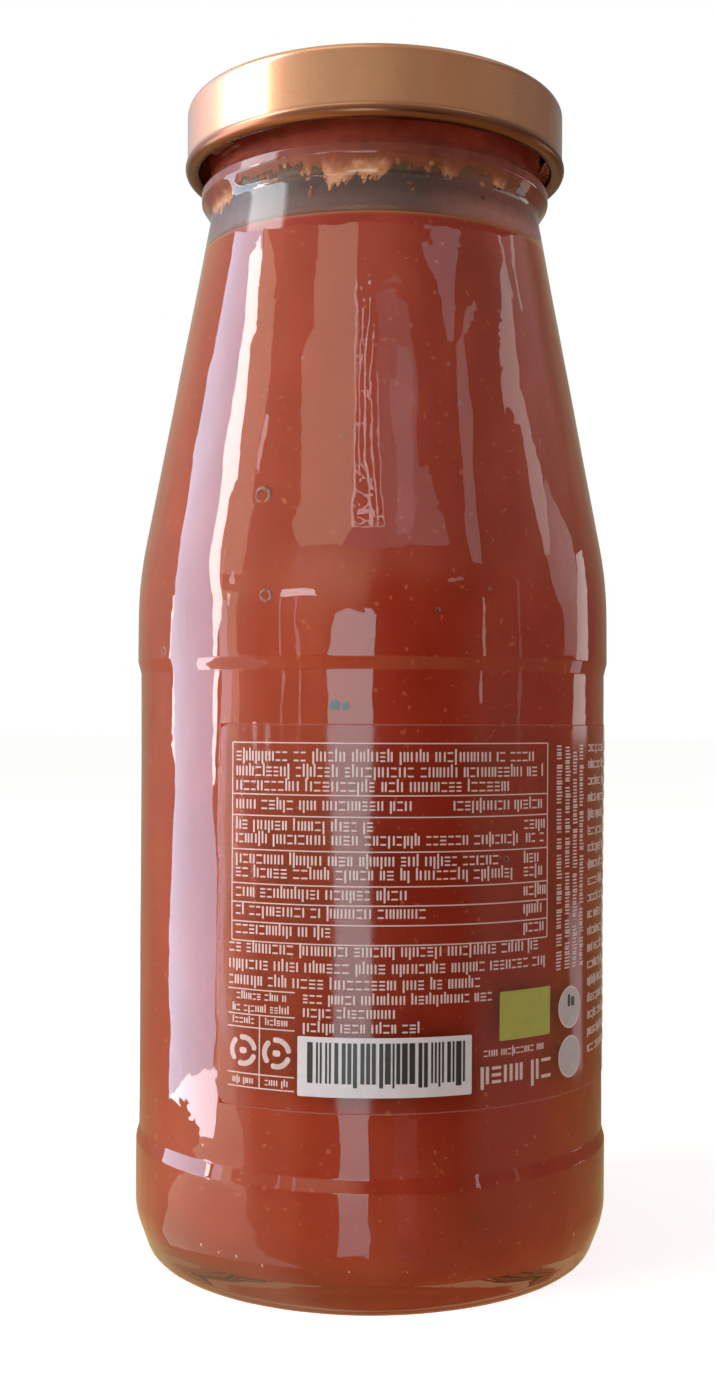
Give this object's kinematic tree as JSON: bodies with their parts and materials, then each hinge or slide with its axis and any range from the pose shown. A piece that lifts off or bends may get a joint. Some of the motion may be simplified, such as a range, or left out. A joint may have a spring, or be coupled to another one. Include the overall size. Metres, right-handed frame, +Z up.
{
  "type": "passata bottle",
  "caption": "Glass bottle of tomato passata with a metal twist-off lid and a clear film label around its body.",
  "frame": {"origin": "centre of the circle that the bottle stands on", "axes": "+Z up along the bottle's axis; -Y is the side with the table of figures on the label; +X to the right of it"},
  "size_m": [0.0702, 0.0702, 0.1695],
  "materials": {
    "clear_glass": "clear flint glass, slightly wavy, glossy",
    "passata": "smooth wet tomato puree, finely mottled",
    "copper_lacquer": "tinplate with a satin copper-coloured lacquer",
    "label_film": "clear self-adhesive film with pale print"
  },
  "bodies": {
    "root": {"bottle": "clear_glass", "passata": "passata", "lid": "copper_lacquer", "label": "label_film"}
  },
  "joints": []
}
